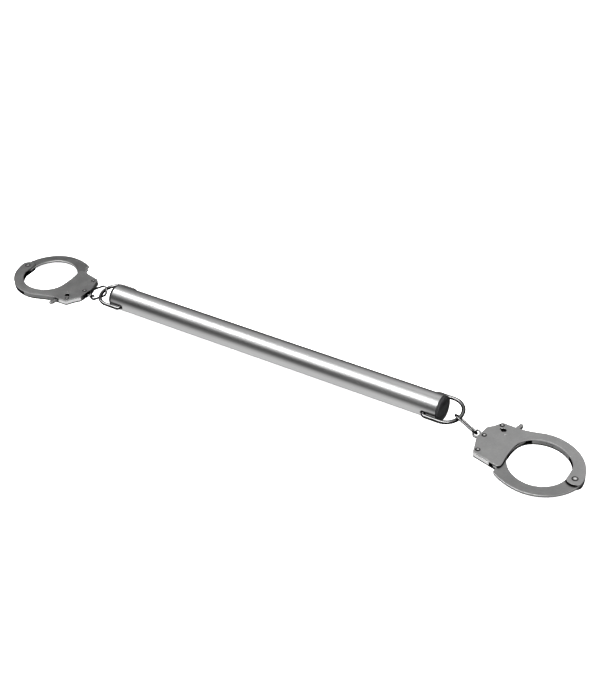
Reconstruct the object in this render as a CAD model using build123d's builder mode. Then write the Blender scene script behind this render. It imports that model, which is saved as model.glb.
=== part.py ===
from build123d import *
import math
import os

# Bar handcuffs: a rigid tube with a ratchet cuff hung on a D-ring at each end.
# Millimetres, +Z up. The origin is the centre of the tube's axis and the tube lies along X.
# The object lies on the plane z = -TUBE_RADIUS, which the tube and both cuffs touch.

# ---- tube and its end fittings ----
TUBE_RADIUS = 12.5
TUBE_WALL = 1.5
TUBE_LENGTH = 376.0
HINGE_INSET = 12.0            # from the tube's end to the D-ring's hinge axis
RING_HOLE_RADIUS = 3.0        # cross hole in the tube wall, wider than the ring's wire
BAR_ROLL_DEG = 9.5            # the bar lies rolled about its own axis, with its far holes up
PLUG_FLANGE_RADIUS = 12.2
PLUG_FLANGE_LENGTH = 3.2
PLUG_BODY_LENGTH = 24.0
PLUG_PLAY = 0.02              # radial, between the plug's body and the tube

# ---- D-ring ----
RING_WIRE = 1.9               # wire radius
RING_BOW_RADIUS = 15.1        # centreline radius of the bow, and half the width of the ring
RING_LEG_END = 193.5          # distance from the origin at which the bow begins
RING_BEND = 3.2               # centreline radius where the ends turn in
RING_END_Y = 7.0              # the ends stop this far from the tube's axis
RING_BORE_PLAY = 0.08         # radial, between the wire and the plug's cross bore

# ---- chain link ----
LINK_WIRE = 1.1               # wire radius
LINK_END_RADIUS = 5.3         # centreline radius of each round end
LINK_SEAT = 4.1               # from the D-ring's wire centre to the link's end centreline

# ---- cuff, seen in its own plane: the bow's pivot is (0, 0) and the lug's rivet is on +X ----
PLATE = 1.4                   # thickness of each cheek plate
GAP = 3.4                     # between the cheek plates
CUFF_THICKNESS = 2 * PLATE + GAP
BOW_THICKNESS = 2.4
LUG_RIVET = (90.9, 0.0)
LEVER_RIVET = (86.0, -20.8)
CASE_RIVET = (84.3, 19.4)
CASE_SPOTS = (LUG_RIVET, LEVER_RIVET, CASE_RIVET)
KEYHOLE = (81.2, -16.1)
STOP_PIN = (76.9, -11.6)
RIVET_RADIUS = 1.75
RIVET_HEAD_RADIUS = 2.3
RIVET_HEAD_RIM = 0.15          # height of the head's straight rim, below its dome
RIVET_HEAD_DOME = 0.55
FOOT_SPREAD = 0.7             # flush foot, spread at 45 degrees into the lower plate
PIVOT_RADIUS = 2.4
PIVOT_HEAD_RADIUS = 2.9
FIXED_PLAY = 0.02             # radial, where a rivet or pin only clamps
RUNNING_PLAY = 0.06           # radial, where a piece turns on a rivet
PIVOT_EYE_RADIUS = 7.4
BOW_EYE_RADIUS = 7.0

# ---- ratchet, on circles about the bow's pivot ----
BOW_INNER_RADIUS = 62.0
TOOTH_ROOT_RADIUS = 67.4
TOOTH_TIP_RADIUS = 69.0
TOOTH_PITCH_DEG = 2.2
TOOTH_COUNT = 18
FIRST_TOOTH_DEG = 23.9
SHOULDER_RADIUS = 68.4        # the sharp shoulder that ends the bow's smooth outer edge
SHOULDER_DEG = 29.0
RELIEF_RADIUS = 66.0          # bottom of the notch between the shoulder and the first tooth
RELIEF_DEG = 24.8
BOW_TIP_DEG = -17.4
BOW_HEEL_RADIUS = 68.1        # outer corner of the bow's end
BOW_NOSE_RADIUS = 64.6        # where the end's straight bevel meets its round nose
PAWL_TIP_RADIUS = 69.3        # the pawl's teeth rest just clear of the bow's
PAWL_TEETH_DEG = (-2.3, 4.3)
PAWL_TOOTH_DEPTH = 1.6
CHANNEL_RADIUS = 69.7         # the lock spacer leaves everything inside this radius open
CASE_WALL_END = 68.5          # the case's side wall ends here, short of the corner at the bow

# ---- lug ----
EYE_CENTRE = (8.3, -0.8)      # from the lug's rivet, along and across the lug
EYE_RING_RADIUS = 3.3         # centreline radius of the eye
EYE_WIRE = 0.95               # section radius of the eye
EYE_TWIST_DEG = -30.0         # the eye is twisted this far about the lug's length
LUG_THICKNESS = 2.8
LUG_BOSS_RADIUS = 4.4
LUG_NECK_HALF_WIDTH = 2.4

# ---- keyhole and post ----
KEYHOLE_RADIUS = 2.5
KEY_SLOT_LENGTH = 4.0
KEY_SLOT_WIDTH = 1.8
KEY_POST_RADIUS = 1.1
STOP_PIN_RADIUS = 1.0

# ---- pawl and its spring ----
PAWL_THICKNESS = 3.0
PAWL_EYE_RADIUS = 2.9
SPRING_LEAF = 0.45            # leaf thickness
SPRING_HEIGHT = 2.6

REST_Z = -TUBE_RADIUS
LOWER_GAP_Z = PLATE
UPPER_GAP_Z = PLATE + GAP
MIDDLE_Z = CUFF_THICKNESS / 2

# Where each side lies: pivot of the bow, direction from it to the lug's rivet, teeth that the
# bow stands open by, swivel of the lug, place of the link on the D-ring's bow (degrees from its
# apex), and the link's roll about its own length.
SIDES = {
    "right": {
        "sign": 1, "pivot": (324.4, -22.1), "turn": 171.2, "open_teeth": 0,
        "lug_turn": 0.0, "seat_deg": -16.0, "roll": -50.0,
    },
    "left": {
        "sign": -1, "pivot": (-324.9, 7.0), "turn": -5.7, "open_teeth": 3,
        "lug_turn": 10.0, "seat_deg": 3.0, "roll": 40.0,
    },
}


def heading(degrees):
    """Level unit vector at an angle from +X."""
    angle = math.radians(degrees)
    return Vector(math.cos(angle), math.sin(angle), 0)


def cuff_plane(side, height=0.0):
    """Plane of a cuff, at a height above the surface that it lies on."""
    x, y = SIDES[side]["pivot"]
    return Plane(origin=(x, y, REST_Z + height), x_dir=heading(SIDES[side]["turn"]), z_dir=(0, 0, 1))


def bow_plane(side, height):
    """The cuff's plane, turned about the bow's pivot by the teeth that the bow stands open."""
    turn = SIDES[side]["turn"] + SIDES[side]["open_teeth"] * TOOTH_PITCH_DEG
    return Plane(origin=cuff_plane(side, height).origin, x_dir=heading(turn), z_dir=(0, 0, 1))


def lug_plane(side, height):
    """Plane of the lug, with its origin on the lug's rivet and +X out to the eye."""
    turn = SIDES[side]["turn"] + SIDES[side]["lug_turn"]
    return Plane(origin=cuff_point(side, LUG_RIVET, height), x_dir=heading(turn), z_dir=(0, 0, 1))


def polar(radius, degrees):
    """Point at a radius and angle about the bow's pivot."""
    angle = math.radians(degrees)
    return (radius * math.cos(angle), radius * math.sin(angle))


def cuff_point(side, point, height):
    """A point of the cuff's own plane, in the frame of the whole object."""
    return cuff_plane(side, height).from_local_coords(Vector(*point, 0))


def ring_plane():
    """Level plane through the bar's axis, rolled with the bar: both D-rings lie in it."""
    roll = math.radians(BAR_ROLL_DEG)
    return Plane(origin=(0, 0, 0), x_dir=(1, 0, 0), z_dir=(0, -math.sin(roll), math.cos(roll)))


def hinge_start_plane():
    """Plane square to the D-rings' hinge axes, just outside the tube; local Y is down."""
    across = ring_plane().y_dir
    return Plane(origin=across * -TUBE_RADIUS, x_dir=(1, 0, 0), z_dir=across)


def save(part, name):
    part.label = name
    export_step(part, "parts/" + name + ".step")


# ---------------------------------------------------------------- tube and end fittings

def make_tube():
    with BuildPart() as tube:
        with BuildSketch(Plane.YZ.offset(-TUBE_LENGTH / 2)):
            Circle(TUBE_RADIUS)
            Circle(TUBE_RADIUS - TUBE_WALL, mode=Mode.SUBTRACT)
        extrude(amount=TUBE_LENGTH)
        hinge_x = TUBE_LENGTH / 2 - HINGE_INSET
        with BuildSketch(hinge_start_plane()):
            with Locations((hinge_x, 0), (-hinge_x, 0)):
                Circle(RING_HOLE_RADIUS)
        extrude(amount=2 * TUBE_RADIUS, mode=Mode.SUBTRACT)
    save(tube.part, "bar_tube")


def make_end_plug(side):
    sign = SIDES[side]["sign"]
    end = sign * TUBE_LENGTH / 2
    with BuildPart() as plug:
        with BuildSketch(Plane.YZ.offset(end)):
            Circle(PLUG_FLANGE_RADIUS)
        extrude(amount=sign * PLUG_FLANGE_LENGTH)
        rim = plug.edges().filter_by(GeomType.CIRCLE).sort_by(Axis.X)[-1 if sign > 0 else 0]
        fillet(rim, radius=1.0)
        with BuildSketch(Plane.YZ.offset(end)):
            Circle(TUBE_RADIUS - TUBE_WALL - PLUG_PLAY)
        extrude(amount=-sign * PLUG_BODY_LENGTH)
        with BuildSketch(hinge_start_plane()):
            with Locations((sign * (TUBE_LENGTH / 2 - HINGE_INSET), 0)):
                Circle(RING_WIRE + RING_BORE_PLAY)
        extrude(amount=2 * TUBE_RADIUS, mode=Mode.SUBTRACT)
    save(plug.part, side + "_end_plug")


def make_d_ring(side):
    sign = SIDES[side]["sign"]
    hinge_x = sign * (TUBE_LENGTH / 2 - HINGE_INSET)
    bend_x = hinge_x + sign * RING_BEND
    leg_x = sign * RING_LEG_END
    half = RING_BOW_RADIUS
    corner = RING_BEND * (1 - math.sqrt(0.5))
    with BuildPart() as ring:
        with BuildLine(ring_plane()) as path:
            Line((hinge_x, RING_END_Y), (hinge_x, half - RING_BEND))
            ThreePointArc(
                (hinge_x, half - RING_BEND),
                (hinge_x + sign * corner, half - corner),
                (bend_x, half),
            )
            Line((bend_x, half), (leg_x, half))
            ThreePointArc((leg_x, half), (leg_x + sign * half, 0), (leg_x, -half))
            Line((leg_x, -half), (bend_x, -half))
            ThreePointArc(
                (bend_x, -half),
                (hinge_x + sign * corner, -half + corner),
                (hinge_x, -half + RING_BEND),
            )
            Line((hinge_x, -half + RING_BEND), (hinge_x, -RING_END_Y))
        with BuildSketch(Plane(origin=path.line @ 0, z_dir=path.line % 0)):
            Circle(RING_WIRE)
        sweep()
    save(ring.part, side + "_d_ring")


def link_plane(side):
    """Plane of a chain link: X runs from the D-ring's wire to the lug's eye."""
    sign = SIDES[side]["sign"]
    seat = math.radians(SIDES[side]["seat_deg"])
    wire = ring_plane().from_local_coords(Vector(
        sign * (RING_LEG_END + RING_BOW_RADIUS * math.cos(seat)),
        RING_BOW_RADIUS * math.sin(seat),
        0,
    ))
    eye = lug_plane(side, MIDDLE_Z).from_local_coords(Vector(*EYE_CENTRE, 0))
    along = (eye - wire).normalized()
    level = Vector(0, 0, 1).cross(along).normalized()
    if level.Y > 0:
        level = -level
    upward = along.cross(level)
    if upward.Z < 0:
        upward = -upward
    roll = math.radians(SIDES[side]["roll"])
    normal = level * math.cos(roll) + upward * math.sin(roll)
    return Plane(origin=wire, x_dir=along, z_dir=normal), (eye - wire).length


def make_chain_link(side):
    plane, reach = link_plane(side)
    near = -LINK_SEAT + LINK_END_RADIUS
    far = reach - LINK_END_RADIUS
    r = LINK_END_RADIUS
    with BuildPart() as link:
        with BuildLine(plane) as path:
            Line((near, r), (far, r))
            ThreePointArc((far, r), (far + r, 0), (far, -r))
            Line((far, -r), (near, -r))
            ThreePointArc((near, -r), (near - r, 0), (near, r))
        with BuildSketch(Plane(origin=path.line @ 0, z_dir=path.line % 0)):
            Circle(LINK_WIRE)
        sweep()
    save(link.part, side + "_chain_link")


# ---------------------------------------------------------------- cuff outlines

def cheek_outline():
    """Outline of a cheek plate with its arm of the double bow, as one closed line."""
    case_corner = (58.3, 19.5)
    eye_start = polar(PIVOT_EYE_RADIUS, 36)
    with BuildLine() as outline:
        arm = ThreePointArc((-PIVOT_EYE_RADIUS, 0), (8.0, -27.0), (39.5, -37.2))
        root = TangentArc(arm @ 1, (52.0, -34.0), tangent=arm % 1)
        flank = Line(root @ 1, root @ 1 + (root % 1) * 6.0)
        shoulder = TangentArc(flank @ 1, (72.5, -26.3), tangent=flank % 1)
        FilletPolyline(
            shoulder @ 1, (87.9, -24.6), (90.9, -17.4), (95.5, -10.4),
            (94.4, 7.0), (86.4, 23.9), (57.2, 27.0), case_corner,
            radius=[3.4, 5.0, 3.0, 5.0, 1.8, 2.6],
        )
        mouth = TangentArc((8.2, -10.2), (53.5, -22.4), tangent=(0.43, -0.9))
        bend = TangentArc(mouth @ 1, (62.2, -5.5), tangent=mouth % 1)
        TangentArc(bend @ 1, case_corner, tangent=bend % 1)
        Line((8.2, -10.2), eye_start)
        ThreePointArc(eye_start, polar(PIVOT_EYE_RADIUS, 108), (-PIVOT_EYE_RADIUS, 0))
    return outline.line


CHEEK = cheek_outline()


def ratchet_teeth():
    """Points of the bow's saw teeth, from the shoulder towards the tip."""
    points = []
    for i in range(TOOTH_COUNT):
        angle = FIRST_TOOTH_DEG - i * TOOTH_PITCH_DEG
        points.append(polar(TOOTH_ROOT_RADIUS, angle))
        points.append(polar(TOOTH_TIP_RADIUS, angle - 0.25 * TOOTH_PITCH_DEG))
    return points


def bow_outline():
    """Outline of the swinging bow: pivot eye, curved arm and toothed end."""
    eye_out = polar(BOW_EYE_RADIUS, 165)
    crest = (34.0, 39.4)
    eye_in = polar(BOW_EYE_RADIUS, 10)
    mouth_end = polar(BOW_INNER_RADIUS, 7.0)
    shoulder = polar(SHOULDER_RADIUS, SHOULDER_DEG)
    teeth = ratchet_teeth()
    heel = polar(BOW_HEEL_RADIUS, BOW_TIP_DEG + 2.6)
    nose = polar(BOW_NOSE_RADIUS, BOW_TIP_DEG)
    nose_middle = polar((BOW_NOSE_RADIUS + BOW_INNER_RADIUS) / 2, BOW_TIP_DEG - 0.3)
    tip_inner = polar(BOW_INNER_RADIUS, BOW_TIP_DEG + 0.6)
    with BuildLine() as outline:
        ThreePointArc(eye_in, polar(BOW_EYE_RADIUS, -90), eye_out)
        TangentArc(crest, eye_out, tangent=(-1, 0))
        TangentArc(crest, shoulder, tangent=(1, 0))
        Polyline(shoulder, polar(RELIEF_RADIUS, RELIEF_DEG), *teeth)
        Polyline(teeth[-1], heel, nose)
        ThreePointArc(nose, nose_middle, tip_inner)
        ThreePointArc(tip_inner, polar(BOW_INNER_RADIUS, -4), mouth_end)
        mouth = ThreePointArc(eye_in, (13.4, 19.4), (32.0, 28.0))
        TangentArc(mouth @ 1, mouth_end, tangent=mouth % 1)
    return outline.line


# ---------------------------------------------------------------- cuff pieces

def make_cheek_plate(side, upper):
    base = UPPER_GAP_Z if upper else 0.0
    with BuildPart() as cheek:
        with BuildSketch(cuff_plane(side, base)):
            add(make_face(CHEEK, mode=Mode.PRIVATE))
        extrude(amount=PLATE)
        with BuildSketch(cuff_plane(side, base)):
            with Locations(STOP_PIN):
                Circle(STOP_PIN_RADIUS + FIXED_PLAY)
            if upper:
                with Locations(*CASE_SPOTS):
                    Circle(RIVET_RADIUS + FIXED_PLAY)
                Circle(PIVOT_RADIUS + FIXED_PLAY)
                with Locations(KEYHOLE):
                    Circle(KEYHOLE_RADIUS)
                with Locations((KEYHOLE[0] + KEY_SLOT_LENGTH / 2, KEYHOLE[1])):
                    Rectangle(KEY_SLOT_LENGTH, KEY_SLOT_WIDTH)
            else:
                with Locations(KEYHOLE):
                    Circle(KEY_POST_RADIUS + FIXED_PLAY)
        extrude(amount=PLATE, mode=Mode.SUBTRACT)
        if not upper:
            with Locations(*[facing_down(side, spot) for spot in CASE_SPOTS]):
                CounterSinkHole(
                    RIVET_RADIUS + FIXED_PLAY,
                    RIVET_RADIUS + FOOT_SPREAD + FIXED_PLAY,
                    depth=PLATE,
                    counter_sink_angle=90,
                )
            with Locations(facing_down(side, (0, 0))):
                CounterSinkHole(
                    PIVOT_RADIUS + FIXED_PLAY,
                    PIVOT_RADIUS + FOOT_SPREAD + FIXED_PLAY,
                    depth=PLATE,
                    counter_sink_angle=90,
                )
    save(cheek.part, side + ("_cheek_upper" if upper else "_cheek_lower"))


def facing_down(side, spot):
    """Plane on the lower face of a cuff, looking down."""
    return Plane(origin=cuff_point(side, spot, 0), x_dir=(1, 0, 0), z_dir=(0, 0, -1))


def make_rivets(side, name, spots, radius, head_radius):
    """Rivets with a domed head on top and a foot spread flush into the lower plate."""
    base_align = (Align.CENTER, Align.CENTER, Align.MIN)
    dome_radius = (head_radius**2 + RIVET_HEAD_DOME**2) / (2 * RIVET_HEAD_DOME)
    dome_edge_deg = math.degrees(math.acos(head_radius / dome_radius))
    with BuildPart() as rivets:
        with Locations(*[Plane(cuff_point(side, spot, 0)) for spot in spots]):
            Cylinder(radius, CUFF_THICKNESS, align=base_align)
            Cone(radius + FOOT_SPREAD, radius, FOOT_SPREAD, align=base_align)
        with Locations(*[Plane(cuff_point(side, spot, CUFF_THICKNESS)) for spot in spots]):
            Cylinder(head_radius, RIVET_HEAD_RIM, align=base_align)
        top = CUFF_THICKNESS + RIVET_HEAD_RIM
        with Locations(*[Plane(cuff_point(side, spot, top)) for spot in spots]):
            Sphere(dome_radius, arc_size1=dome_edge_deg, align=base_align)
    save(rivets.part, side + "_" + name)


def make_pin(side, name, spot, radius, low, high):
    with BuildPart() as pin:
        with BuildSketch(cuff_plane(side, low)):
            with Locations(spot):
                Circle(radius)
        extrude(amount=high - low)
        crown = pin.edges().filter_by(GeomType.CIRCLE).sort_by(Axis.Z)[-1]
        fillet(crown, radius=0.25)
    save(pin.part, side + "_" + name)


def make_lock_spacer(side):
    """Frame between the cheek plates: open for the bow, pawl, spring, key, lever and lug."""
    with BuildPart() as spacer:
        with BuildSketch(cuff_plane(side, LOWER_GAP_Z)):
            add(make_face(CHEEK, mode=Mode.PRIVATE))
            Circle(CHANNEL_RADIUS, mode=Mode.SUBTRACT)
            with Locations((CASE_WALL_END, CASE_RIVET[1])):
                Rectangle(20, 20, align=(Align.MAX, Align.CENTER), mode=Mode.SUBTRACT)
            with BuildLine():
                FilletPolyline(
                    (60, 12.0), (60, -34.0), (77.6, -34.0), (77.6, -24.2), (85.4, -24.2),
                    (85.6, -11.0), (86.0, 9.6), (84.0, 13.4), (60, 12.0),
                    radius=1.2, close=False,
                )
            make_face(mode=Mode.SUBTRACT)
            with Locations(LEVER_RIVET):
                Circle(PAWL_EYE_RADIUS + 0.3, mode=Mode.SUBTRACT)
            with Locations(KEYHOLE):
                Circle(KEY_SLOT_LENGTH + 0.8, mode=Mode.SUBTRACT)
            with BuildLine():
                Polyline((89.4, -3.8), (99.0, -7.6), (99.0, 5.0), (89.4, 3.8), (89.4, -3.8))
            make_face(mode=Mode.SUBTRACT)
            with Locations(LUG_RIVET):
                Circle(LUG_BOSS_RADIUS + 0.4, mode=Mode.SUBTRACT)
            with Locations(CASE_RIVET):
                Circle(RIVET_RADIUS + FIXED_PLAY, mode=Mode.SUBTRACT)
        extrude(amount=GAP)
    save(spacer.part, side + "_lock_spacer")


def make_stop_spacer(side):
    """Filler between the two plates of the double bow's arm; the bow's end stops against it.

    It leaves the bow's eye free at one end and the bow's closed end free at the other.
    """
    with BuildPart() as filler:
        with BuildSketch(cuff_plane(side, LOWER_GAP_Z)):
            add(make_face(CHEEK, mode=Mode.PRIVATE))
            with BuildLine():
                Polyline(
                    (70.9, -40.0), (70.9, -24.7), (65.6, -26.0), (59.8, -28.2), (55.0, -26.2),
                    (55.0, -10.0), (16.0, -20.0), (38.0, -39.0), (70.9, -40.0),
                )
            make_face(mode=Mode.INTERSECT)
        extrude(amount=GAP)
    save(filler.part, side + "_stop_spacer")


def make_swing_bow(side):
    with BuildPart() as bow:
        with BuildSketch(bow_plane(side, MIDDLE_Z - BOW_THICKNESS / 2)):
            add(make_face(bow_outline(), mode=Mode.PRIVATE))
            Circle(PIVOT_RADIUS + RUNNING_PLAY, mode=Mode.SUBTRACT)
        extrude(amount=BOW_THICKNESS)
    save(bow.part, side + "_swing_bow")


def make_swivel_lug(side):
    eye_x, eye_y = EYE_CENTRE
    neck_end = eye_x - EYE_RING_RADIUS
    middle = lug_plane(side, MIDDLE_Z)
    eye_plane = Plane(
        origin=middle.from_local_coords(Vector(eye_x, eye_y, 0)),
        x_dir=middle.x_dir,
        z_dir=Vector(0, 0, 1).rotate(Axis((0, 0, 0), middle.x_dir), EYE_TWIST_DEG),
    )
    with BuildPart() as lug:
        with BuildSketch(middle.offset(-LUG_THICKNESS / 2)):
            Circle(LUG_BOSS_RADIUS)
        extrude(amount=LUG_THICKNESS)
        with BuildSketch(middle.offset(-EYE_WIRE)):
            with BuildLine():
                Polyline(
                    (0, -LUG_NECK_HALF_WIDTH - 1.2),
                    (neck_end, eye_y - LUG_NECK_HALF_WIDTH + 0.3),
                    (neck_end, eye_y + LUG_NECK_HALF_WIDTH - 0.3),
                    (0, LUG_NECK_HALF_WIDTH + 1.2),
                    (0, -LUG_NECK_HALF_WIDTH - 1.2),
                )
            make_face()
        extrude(amount=2 * EYE_WIRE)
        with BuildSketch(eye_plane.offset(-2 * EYE_WIRE)):
            Circle(EYE_RING_RADIUS - 0.2)
        extrude(amount=4 * EYE_WIRE, mode=Mode.SUBTRACT)
        with Locations(eye_plane):
            Torus(EYE_RING_RADIUS, EYE_WIRE)
        with BuildSketch(middle.offset(-LUG_THICKNESS)):
            Circle(RIVET_RADIUS + RUNNING_PLAY)
        extrude(amount=2 * LUG_THICKNESS, mode=Mode.SUBTRACT)
    save(lug.part, side + "_swivel_lug")


def make_pawl_lever(side):
    """Sprung pawl with a toothed nose, and the release lever that is one piece with it."""
    low, high = PAWL_TEETH_DEG
    nose = []
    angle = low
    while angle < high:
        nose.append(polar(PAWL_TIP_RADIUS, angle))
        nose.append(polar(PAWL_TIP_RADIUS + PAWL_TOOTH_DEPTH, angle + 0.75 * TOOTH_PITCH_DEG))
        angle += TOOTH_PITCH_DEG
    with BuildPart() as pawl:
        with BuildSketch(cuff_plane(side, MIDDLE_Z - PAWL_THICKNESS / 2)):
            with BuildLine():
                Polyline((86.0, -23.3), (79.2, -23.3), (76.4, -24.6), (75.9, -33.4))
                ThreePointArc((75.9, -33.4), (74.0, -35.2), (72.3, -33.2))
                Polyline(
                    (72.3, -33.2), (72.5, -24.4), (71.4, -21.4), (71.4, -5.0),
                    *nose,
                    polar(PAWL_TIP_RADIUS + 1.2, 8.4), (74.2, 9.4), (75.0, 2.0), (74.6, -8.0),
                    (74.7, -15.6), (76.0, -17.9), (80.0, -19.4), (83.6, -19.0), (86.0, -18.2),
                    (86.0, -23.3),
                )
            make_face()
            with Locations(LEVER_RIVET):
                Circle(PAWL_EYE_RADIUS)
                Circle(RIVET_RADIUS + RUNNING_PLAY, mode=Mode.SUBTRACT)
        extrude(amount=PAWL_THICKNESS)
    save(pawl.part, side + "_pawl_lever")


def make_pawl_spring(side):
    """Bent leaf: its foot stands against the spacer, its free end presses the pawl's back."""
    with BuildPart() as spring:
        with BuildSketch(cuff_plane(side, MIDDLE_Z - SPRING_HEIGHT / 2)):
            with BuildLine() as middle:
                Line((85.4, 8.6), (85.0, -6.0))
                ThreePointArc((85.0, -6.0), (83.2, -8.6), (80.9, -6.6))
                ThreePointArc((80.9, -6.6), (78.9, 0.6), (75.6, 4.6))
            trace(middle.line, line_width=SPRING_LEAF)
        extrude(amount=SPRING_HEIGHT)
    save(spring.part, side + "_pawl_spring")


def make_cuff(side):
    for upper in (True, False):
        make_cheek_plate(side, upper)
    make_lock_spacer(side)
    make_stop_spacer(side)
    make_swing_bow(side)
    make_swivel_lug(side)
    make_pawl_lever(side)
    make_pawl_spring(side)
    make_rivets(side, "case_rivets", CASE_SPOTS, RIVET_RADIUS, RIVET_HEAD_RADIUS)
    make_rivets(side, "pivot_rivet", ((0, 0),), PIVOT_RADIUS, PIVOT_HEAD_RADIUS)
    make_pin(side, "key_post", KEYHOLE, KEY_POST_RADIUS, 0, UPPER_GAP_Z - 0.4)
    make_pin(side, "stop_pin", STOP_PIN, STOP_PIN_RADIUS, 0, CUFF_THICKNESS)


def main():
    os.makedirs("parts", exist_ok=True)
    make_tube()
    for side in SIDES:
        make_end_plug(side)
        make_d_ring(side)
        make_chain_link(side)
        make_cuff(side)


main()
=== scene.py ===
import math

import bmesh
import bpy
from mathutils import Matrix, Vector


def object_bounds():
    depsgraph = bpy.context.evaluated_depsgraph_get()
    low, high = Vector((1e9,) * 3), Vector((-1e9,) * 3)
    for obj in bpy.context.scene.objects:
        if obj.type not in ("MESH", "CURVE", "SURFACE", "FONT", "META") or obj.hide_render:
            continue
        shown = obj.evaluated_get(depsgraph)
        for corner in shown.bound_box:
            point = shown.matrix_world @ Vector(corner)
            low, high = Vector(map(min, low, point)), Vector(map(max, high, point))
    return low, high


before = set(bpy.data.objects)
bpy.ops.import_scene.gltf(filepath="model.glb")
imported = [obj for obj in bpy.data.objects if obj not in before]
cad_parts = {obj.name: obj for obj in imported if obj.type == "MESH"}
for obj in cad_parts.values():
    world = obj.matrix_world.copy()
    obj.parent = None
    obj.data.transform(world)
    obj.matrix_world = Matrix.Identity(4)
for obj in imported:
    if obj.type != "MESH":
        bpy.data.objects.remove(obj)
cad_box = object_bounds()

MM = 0.001

# The camera, in the frame of the part: where it stands and how it is turned.
CAMERA_AT = Vector((0.5535, -0.7469, 0.6701))
CAMERA_YAW = math.radians(-34.47)
CAMERA_PITCH = math.radians(-35.99)
CAMERA_ROLL = math.radians(-3.16)
CAMERA_LENS = 60.7

# The studio, in metres: a round floor that curves up into a wall
FLOOR_Z = cad_box[0][2]
FLOOR_RADIUS = 2.6
SWEEP_RADIUS = 1.6
WALL_HEIGHT = 4.0
SWEEP_STEPS = 8
FLOOR_STEPS = 64

# The way that a bent wire faces where a highlight is painted bright on its plating
HIGHLIGHT_WAY = (0.20, -0.55, 0.81)

# Colour of edges made bright, partly by wear and partly as a painted highlight, and factors on a
# colour: its own, under painted seam shade and under painted shade
EDGE_WEAR_AND_HIGHLIGHT = (0.86, 0.86, 0.855)
CLEAN = (1, 1, 1)
PAINTED_SEAM_SHADE = (0.02, 0.02, 0.02)
PAINTED_SHADE = (0.08, 0.08, 0.08)

# How far the painted shade in a seam reaches from the other piece, and the two shares of open sky
# between which it goes from black to the surface's own colour.
SEAM_REACH = 6.0 * MM
SEAM_OPENNESS = (0.62, 0.88)

# Small roundings on sharp edges: faces that turn by less than FLAT_WITHIN are merged first,
# then edges that turn by more than SHARP_BEYOND are rounded to the width of their piece.
FLAT_WITHIN = math.radians(0.2)
SHARP_BEYOND = math.radians(32.0)
ROUNDING_STEPS = 3
WELD_WITHIN = 1e-6
FLAT_FACE_WEIGHT = 80
LUG_EDGE = 0.25 * MM
PLATE_EDGE = 0.50 * MM
BOW_EDGE = 0.60 * MM
SPACER_EDGE = 0.20 * MM
LEVER_EDGE = 0.50 * MM

# Brightness of the surroundings against the sine of the elevation, before and behind the
# object, and a factor on the back that runs from the first value to the second as the
# direction's X runs between the last two. The front turns into the back as the direction's
# Y runs between the values of WORLD_TURN.
WORLD_FRONT = (
    (-1.0, 0.80), (-0.50, 0.95), (-0.22, 0.50), (-0.05, 0.06), (0.34, 0.06), (0.62, 0.16), (0.80, 0.42),
    (1.0, 0.50),
)
WORLD_BACK = (
    (-1.0, 0.70), (-0.82, 0.15), (-0.60, 0.02), (0.05, 0.02), (0.30, 0.16), (0.50, 0.36), (0.72, 0.84),
    (1.0, 0.50),
)
WORLD_BY_WIDTH = (0.62, 1.45, -0.66, -0.16)
WORLD_TURN = (0.12, 0.42)

# Sockets of a colour Mix node: its two inputs and its result
MIX_A, MIX_B, MIX_RESULT = 6, 7, 2


# ---------------------------------------------------------------- node helpers

def new_material(name):
    """A new node material, with its nodes and links."""
    material = bpy.data.materials.new(name)
    material.use_nodes = True
    return material, material.node_tree.nodes, material.node_tree.links


def add_node(nodes, kind, **values):
    """A new node of a kind, with its settings."""
    node = nodes.new(kind)
    for key, value in values.items():
        setattr(node, key, value)
    return node


def noise(nodes, links, scale, stretch=(1, 1, 1), detail=3.0, roughness=0.5, turn=(0, 0, 0)):
    """Noise in the part's own space, in metres; stretch multiplies its frequency along each axis."""
    place = nodes.new("ShaderNodeTexCoord")
    mapping = nodes.new("ShaderNodeMapping")
    mapping.inputs["Scale"].default_value = stretch
    mapping.inputs["Rotation"].default_value = turn
    links.new(place.outputs["Object"], mapping.inputs["Vector"])
    texture = nodes.new("ShaderNodeTexNoise")
    texture.inputs["Scale"].default_value = scale
    texture.inputs["Detail"].default_value = detail
    texture.inputs["Roughness"].default_value = roughness
    links.new(mapping.outputs["Vector"], texture.inputs["Vector"])
    return texture.outputs["Fac"]


def spread(nodes, links, factor, low, high, start=0.3, end=0.7):
    """A value that runs from low to high as the factor runs from start to end."""
    node = nodes.new("ShaderNodeMapRange")
    node.inputs["From Min"].default_value = start
    node.inputs["From Max"].default_value = end
    node.inputs["To Min"].default_value = low
    node.inputs["To Max"].default_value = high
    links.new(factor, node.inputs["Value"])
    return node.outputs["Result"]


def two_tone(nodes, links, factor, dark, light, start=0.35, end=0.65):
    """A colour that runs from dark to light as the factor runs from start to end."""
    ramp = nodes.new("ShaderNodeValToRGB")
    ramp.color_ramp.elements[0].position = start
    ramp.color_ramp.elements[0].color = (*dark, 1)
    ramp.color_ramp.elements[1].position = end
    ramp.color_ramp.elements[1].color = (*light, 1)
    links.new(factor, ramp.inputs["Fac"])
    return ramp.outputs["Color"]


def blend(nodes, links, a, b, factor):
    """Colour a where the factor is 0 and colour b where it is 1."""
    mix = add_node(nodes, "ShaderNodeMix", data_type="RGBA")
    links.new(factor, mix.inputs["Factor"])
    links.new(a, mix.inputs[MIX_A])
    links.new(b, mix.inputs[MIX_B])
    return mix.outputs[MIX_RESULT]


def multiply(nodes, links, a, b):
    """The product of two colours."""
    mix = add_node(nodes, "ShaderNodeMix", data_type="RGBA", blend_type="MULTIPLY")
    mix.inputs["Factor"].default_value = 1.0
    links.new(a, mix.inputs[MIX_A])
    links.new(b, mix.inputs[MIX_B])
    return mix.outputs[MIX_RESULT]


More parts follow.
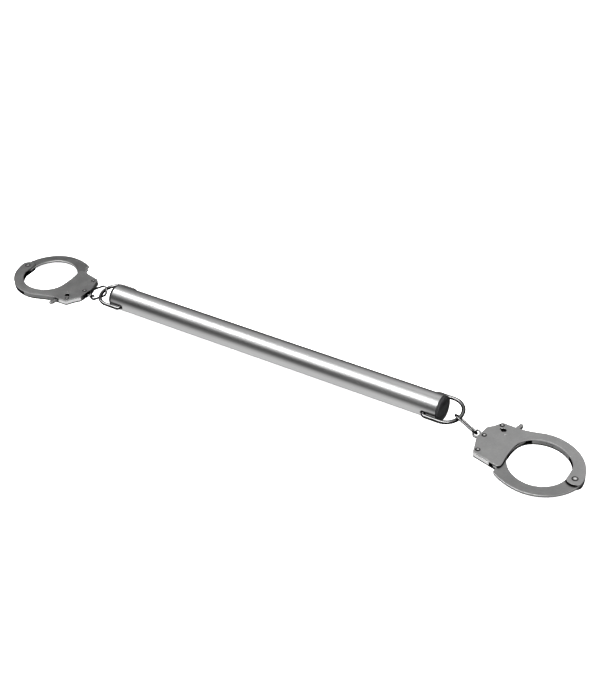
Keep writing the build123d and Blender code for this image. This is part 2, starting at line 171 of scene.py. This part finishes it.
def bump(nodes, links, height, strength, distance, normal=None):
    """Fine relief, laid over another relief where one is given."""
    node = nodes.new("ShaderNodeBump")
    node.inputs["Strength"].default_value = strength
    node.inputs["Distance"].default_value = distance
    links.new(height, node.inputs["Height"])
    if normal is not None:
        links.new(normal, node.inputs["Normal"])
    return node.outputs["Normal"]


def facing(nodes, links, low, high, way=(0, 0, 1)):
    """0 to 1 as the cosine between the surface's own normal and a direction runs from low to high."""
    place = nodes.new("ShaderNodeTexCoord")
    cosine = add_node(nodes, "ShaderNodeVectorMath", operation="DOT_PRODUCT")
    cosine.inputs[1].default_value = Vector(way).normalized()
    links.new(place.outputs["Normal"], cosine.inputs[0])
    return spread(nodes, links, cosine.outputs["Value"], 0.0, 1.0, low, high)


def shelter(nodes, links):
    """1 in the open, falling to 0 in a seam where another surface stands close."""
    node = nodes.new("ShaderNodeAmbientOcclusion")
    node.inputs["Distance"].default_value = SEAM_REACH
    return spread(nodes, links, node.outputs["AO"], 0.0, 1.0, *SEAM_OPENNESS)


# ---------------------------------------------------------------- materials

def satin_metal(name, dark, light, rough, turn=0.0, scratch=1.0, cloud=60.0, shade_lean=None, wear_and_painted_light=False):
    """Plated steel with a fine satin grain, soft cloudy tarnish and hairline scratches.

    A pair of cosines of the surface's lean from upright, where given, paints shade: the surface
    is dark at the first and keeps its own colour at the second. The wear switch makes the
    edges of the upper face bright, partly as wear and partly as a painted highlight, and
    paints shade into the seams beside other pieces.
    """
    material, nodes, links = new_material(name)
    shader = nodes["Principled BSDF"]
    shader.inputs["Metallic"].default_value = 1.0
    clouds = noise(nodes, links, cloud, detail=5.0, roughness=0.6)
    grain = noise(nodes, links, 1400.0, (0.35, 1.0, 1.0), 3.0, 0.7, (0, 0, turn))
    hairs = noise(nodes, links, 1500.0, (1.0, 0.02, 1.0), 1.0, 0.4, (0, 0, turn + 0.5))
    tone = two_tone(nodes, links, clouds, dark, light)
    grain_tone = two_tone(nodes, links, grain, (0.88, 0.88, 0.88), CLEAN)
    colour = multiply(nodes, links, tone, grain_tone)
    if wear_and_painted_light:
        # The rounding between the upper face and the walls, made bright partly by wear and partly as a
        # painted highlight
        slope = add_node(nodes, "ShaderNodeMath", operation="MULTIPLY")
        links.new(facing(nodes, links, 0.97, 0.80), slope.inputs[0])
        links.new(facing(nodes, links, 0.05, 0.35), slope.inputs[1])
        edge = add_node(nodes, "ShaderNodeMix", data_type="RGBA")
        edge.inputs[MIX_B].default_value = (*EDGE_WEAR_AND_HIGHLIGHT, 1)
        links.new(slope.outputs["Value"], edge.inputs["Factor"])
        links.new(colour, edge.inputs[MIX_A])
        # Painted shade: the seams beside other pieces are darkened where another surface stands close
        seam = two_tone(nodes, links, shelter(nodes, links), PAINTED_SEAM_SHADE, CLEAN, 0.0, 1.0)
        colour = multiply(nodes, links, edge.outputs[MIX_RESULT], seam)
    # Painted shade: the surface is darkened by its lean from upright
    if shade_lean:
        unshaded = facing(nodes, links, *shade_lean)
        shade_factor = two_tone(nodes, links, unshaded, PAINTED_SHADE, CLEAN, 0.0, 1.0)
        colour = multiply(nodes, links, colour, shade_factor)
    links.new(colour, shader.inputs["Base Color"])
    links.new(spread(nodes, links, clouds, rough[0], rough[1]), shader.inputs["Roughness"])
    fine = bump(nodes, links, grain, 0.10 * scratch, 0.02 * MM)
    links.new(bump(nodes, links, hairs, 0.05 * scratch, 0.02 * MM, fine), shader.inputs["Normal"])
    return material


def drawn_aluminium():
    """Anodised tube: satin, with faint draw lines along its length and a slight mottle."""
    material, nodes, links = new_material("drawn_aluminium")
    shader = nodes["Principled BSDF"]
    shader.inputs["Metallic"].default_value = 1.0
    lines = noise(nodes, links, 700.0, (0.008, 1.0, 1.0), 2.0, 0.6)
    mottle = noise(nodes, links, 25.0, (0.4, 1.0, 1.0), 4.0, 0.55)
    frost = noise(nodes, links, 3500.0, detail=1.0)
    tone = two_tone(nodes, links, mottle, (0.60, 0.60, 0.604), (0.65, 0.65, 0.65))
    line_tone = two_tone(nodes, links, lines, (0.93, 0.93, 0.93), CLEAN, 0.3, 0.7)
    links.new(multiply(nodes, links, tone, line_tone), shader.inputs["Base Color"])
    links.new(spread(nodes, links, lines, 0.29, 0.36), shader.inputs["Roughness"])
    drawn = bump(nodes, links, lines, 0.12, 0.03 * MM)
    links.new(bump(nodes, links, frost, 0.10, 0.01 * MM, drawn), shader.inputs["Normal"])
    return material


def bright_wire():
    """Bent wire, with a painted highlight along its top and painted shade below, with smudges and
    ripples.
    """
    material, nodes, links = new_material("bright_wire")
    shader = nodes["Principled BSDF"]
    shader.inputs["Metallic"].default_value = 1.0
    smudge = noise(nodes, links, 120.0, detail=4.0, roughness=0.6)
    ripple = noise(nodes, links, 260.0, detail=2.0)
    # Painted highlight where the wire faces the highlight way, and painted shade where it turns away
    scuff_and_highlight = facing(nodes, links, 0.80, 0.97, HIGHLIGHT_WAY)
    plate = two_tone(nodes, links, scuff_and_highlight, (0.020, 0.020, 0.021), (0.38, 0.38, 0.38), 0.1, 0.9)
    stain = two_tone(nodes, links, smudge, (0.78, 0.78, 0.78), CLEAN)
    links.new(multiply(nodes, links, plate, stain), shader.inputs["Base Color"])
    links.new(spread(nodes, links, smudge, 0.10, 0.20), shader.inputs["Roughness"])
    links.new(bump(nodes, links, ripple, 0.16, 0.12 * MM), shader.inputs["Normal"])
    return material


def black_plastic():
    """Moulded plug: matte black with a fine spark-eroded grain and scuffed, lighter patches."""
    material, nodes, links = new_material("black_plastic")
    shader = nodes["Principled BSDF"]
    shader.inputs["Specular IOR Level"].default_value = 0.16
    grain = noise(nodes, links, 2200.0, detail=2.0, roughness=0.7)
    scuff_and_highlight = noise(nodes, links, 160.0, (1.0, 0.35, 1.0), 4.0, 0.6, (0.6, 0, 0))
    links.new(
        two_tone(nodes, links, scuff_and_highlight, (0.006, 0.006, 0.0065), (0.018, 0.018, 0.019)),
        shader.inputs["Base Color"],
    )
    links.new(spread(nodes, links, scuff_and_highlight, 0.62, 0.45), shader.inputs["Roughness"])
    links.new(bump(nodes, links, grain, 0.35, 0.05 * MM), shader.inputs["Normal"])
    return material


def floor_material():
    """Pale studio floor lit from behind, so that shadows on it stay faint."""
    material, nodes, links = new_material("studio_floor")
    shader = nodes["Principled BSDF"]
    shader.inputs["Specular IOR Level"].default_value = 0.35
    shader.inputs["Emission Color"].default_value = (1, 1, 1, 1)
    shader.inputs["Emission Strength"].default_value = 0.75
    patches = noise(nodes, links, 3.0, detail=3.0)
    links.new(
        two_tone(nodes, links, patches, (0.90, 0.90, 0.90), (0.92, 0.92, 0.92)),
        shader.inputs["Base Color"],
    )
    links.new(spread(nodes, links, patches, 0.16, 0.20), shader.inputs["Roughness"])
    return material


# ---------------------------------------------------------------- dressing the CAD nodes

def soften(node, width):
    """Small real roundings on a node's sharp edges, as modifiers on the untouched mesh."""
    weld = node.modifiers.new("weld", "WELD")
    weld.merge_threshold = WELD_WITHIN
    flats = node.modifiers.new("flats", "DECIMATE")
    flats.decimate_type = "DISSOLVE"
    flats.angle_limit = FLAT_WITHIN
    bevel = node.modifiers.new("edges", "BEVEL")
    bevel.width = width
    bevel.segments = ROUNDING_STEPS
    bevel.limit_method = "ANGLE"
    bevel.angle_limit = SHARP_BEYOND
    normals = node.modifiers.new("normals", "WEIGHTED_NORMAL")
    normals.keep_sharp = False
    normals.weight = FLAT_FACE_WEIGHT


def dress(node_name, material):
    """Give a node its material, and hand the node back."""
    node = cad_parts[node_name]
    node.data.materials.clear()
    node.data.materials.append(material)
    return node


def dress_all():
    """Every node's material, and rounded edges on the flat pieces."""
    aluminium = drawn_aluminium()
    wire = bright_wire()
    plastic = black_plastic()
    nickel = ((0.40, 0.40, 0.40), (0.48, 0.48, 0.478))
    satin = (0.30, 0.40)
    # The plates are painted dark as shade by their lean: the upper plate on its underside, the lower
    # plate on its top and walls
    plates = {
        "cheek_upper": satin_metal("satin_nickel_upper", *nickel, satin, shade_lean=(-0.9, -0.5), wear_and_painted_light=True),
        "cheek_lower": satin_metal("satin_nickel_lower", *nickel, satin, shade_lean=(-0.4, -0.8)),
    }
    # Here and on the upper plate, the wear switch gives bright edges, partly wear and partly a painted
    # highlight, and painted shade in the seams
    bow = satin_metal("satin_bow", (0.30, 0.30, 0.30), (0.37, 0.37, 0.368), satin, 0.9, wear_and_painted_light=True)
    bright = ((0.75, 0.75, 0.75), (0.92, 0.92, 0.91))
    lock = satin_metal("blanked_steel", *bright, (0.14, 0.26), 1.4)
    # Darker steel for the filler: painted shade for its walls deep between the plates
    filler = satin_metal("filler_steel", (0.17, 0.17, 0.17), (0.26, 0.26, 0.258), (0.25, 0.38), 0.4)
    lever = satin_metal("lever_steel", (0.38, 0.38, 0.38), (0.52, 0.52, 0.515), (0.18, 0.30), 1.4)
    # The rivet heads' sloping rim is painted dark as shade
    rivet = satin_metal("peened_rivet", *bright, (0.12, 0.22), 0.3, 1.0, 400, shade_lean=(0.965, 0.993))
    post = satin_metal("dark_post", (0.10, 0.10, 0.10), (0.16, 0.16, 0.16), satin)
    spring = satin_metal("blued_spring", (0.18, 0.19, 0.22), (0.28, 0.29, 0.33), (0.25, 0.38))
    dress("bar_tube", aluminium)
    for side in ("right", "left"):
        dress(f"{side}_end_plug", plastic)
        for piece in ("d_ring", "chain_link"):
            dress(f"{side}_{piece}", wire)
        soften(dress(f"{side}_swivel_lug", wire), LUG_EDGE)
        for piece, plate in plates.items():
            soften(dress(f"{side}_{piece}", plate), PLATE_EDGE)
        soften(dress(f"{side}_swing_bow", bow), BOW_EDGE)
        soften(dress(f"{side}_lock_spacer", lock), SPACER_EDGE)
        soften(dress(f"{side}_stop_spacer", filler), SPACER_EDGE)
        soften(dress(f"{side}_pawl_lever", lever), LEVER_EDGE)
        for piece in ("case_rivets", "pivot_rivet", "stop_pin"):
            dress(f"{side}_{piece}", rivet)
        dress(f"{side}_key_post", post)
        dress(f"{side}_pawl_spring", spring)


# ---------------------------------------------------------------- studio

def make_floor():
    """Pale round cyclorama. Its pale glow is kept out of the metal's reflections."""
    profile = [(0.0, 0.0), (FLOOR_RADIUS, 0.0)]
    for step in range(1, SWEEP_STEPS + 1):
        angle = math.radians(90 * step / SWEEP_STEPS)
        out = FLOOR_RADIUS + SWEEP_RADIUS * math.sin(angle)
        profile.append((out, SWEEP_RADIUS * (1 - math.cos(angle))))
    profile.append((FLOOR_RADIUS + SWEEP_RADIUS, WALL_HEIGHT))
    mesh = bmesh.new()
    outline = [mesh.verts.new((out, 0, FLOOR_Z + up)) for out, up in profile]
    edges = [mesh.edges.new(pair) for pair in zip(outline, outline[1:])]
    bmesh.ops.spin(
        mesh,
        geom=outline + edges,
        cent=(0, 0, 0),
        axis=(0, 0, 1),
        steps=FLOOR_STEPS,
        angle=2 * math.pi,
    )
    bmesh.ops.remove_doubles(mesh, verts=mesh.verts, dist=MM)
    bmesh.ops.recalc_face_normals(mesh, faces=mesh.faces)
    bmesh.ops.reverse_faces(mesh, faces=mesh.faces)
    data = bpy.data.meshes.new("studio_floor")
    mesh.to_mesh(data)
    mesh.free()
    data.shade_smooth()
    floor = bpy.data.objects.new("studio_floor", data)
    bpy.context.scene.collection.objects.link(floor)
    floor.visible_glossy = False
    data.materials.append(floor_material())


def soft_light(name, at, aim, size, power, in_reflections=True):
    """A rectangular light at one place that shines at another."""
    data = bpy.data.lights.new(name, "AREA")
    data.shape = "RECTANGLE"
    data.size, data.size_y = size
    data.energy = power
    light = bpy.data.objects.new(name, data)
    light.location = at
    light.rotation_euler = (Vector(aim) - Vector(at)).to_track_quat("-Z", "Y").to_euler()
    light.visible_glossy = in_reflections
    bpy.context.scene.collection.objects.link(light)


def by_height(nodes, links, height, steps):
    """Smooth ramp of grey levels over the direction's height."""
    ramp = nodes.new("ShaderNodeValToRGB")
    ramp.color_ramp.interpolation = "B_SPLINE"
    while len(ramp.color_ramp.elements) < len(steps):
        ramp.color_ramp.elements.new(0.5)
    for element, (sine, level) in zip(ramp.color_ramp.elements, steps):
        element.position = (sine + 1) / 2
        element.color = (level, level, level, 1)
    links.new(height, ramp.inputs["Fac"])
    return ramp.outputs["Color"]


def make_world():
    """What the metal reflects: a grey floor, a dark front, a paler back and a grey ceiling."""
    world = bpy.data.worlds.new("studio")
    bpy.context.scene.world = world
    world.use_nodes = True
    nodes, links = world.node_tree.nodes, world.node_tree.links
    place = nodes.new("ShaderNodeTexCoord")
    split = nodes.new("ShaderNodeSeparateXYZ")
    links.new(place.outputs["Generated"], split.inputs["Vector"])
    height = spread(nodes, links, split.outputs["Z"], 0.0, 1.0, -1.0, 1.0)
    front = by_height(nodes, links, height, WORLD_FRONT)
    back = by_height(nodes, links, height, WORLD_BACK)
    across = spread(nodes, links, split.outputs["X"], *WORLD_BY_WIDTH)
    behind = spread(nodes, links, split.outputs["Y"], 0.0, 1.0, *WORLD_TURN)
    surroundings = blend(nodes, links, front, multiply(nodes, links, back, across), behind)
    links.new(surroundings, nodes["Background"].inputs["Color"])


def make_camera():
    """The camera, from its place, its turn to the side, its tilt down and its roll."""
    data = bpy.data.cameras.new("camera")
    data.lens = CAMERA_LENS
    camera = bpy.data.objects.new("camera", data)
    level = math.cos(CAMERA_PITCH)
    look = Vector((math.sin(CAMERA_YAW) * level, math.cos(CAMERA_YAW) * level, math.sin(CAMERA_PITCH)))
    right = look.cross(Vector((0, 0, 1))).normalized()
    up = right.cross(look)
    tilted_right = right * math.cos(CAMERA_ROLL) + up * math.sin(CAMERA_ROLL)
    tilted_up = up * math.cos(CAMERA_ROLL) - right * math.sin(CAMERA_ROLL)
    turn = Matrix((tilted_right, tilted_up, -look)).transposed()
    camera.matrix_world = Matrix.Translation(CAMERA_AT) @ turn.to_4x4()
    bpy.context.scene.collection.objects.link(camera)
    bpy.context.scene.camera = camera


bpy.context.scene.view_settings.view_transform = "Standard"
make_camera()
make_world()
make_floor()
soft_light("key_strip", (-0.35, -0.50, 1.10), (-0.1, 0.0, 0.0), (2.6, 0.20), 10.5)
soft_light("key_glow", (-0.35, -0.52, 1.14), (-0.1, 0.0, 0.0), (3.2, 1.1), 8.5)
soft_light("floor_wash", (0.0, 0.0, 2.6), (0.0, 0.0, 0.0), (3.6, 3.6), 150.0, in_reflections=False)
dress_all()
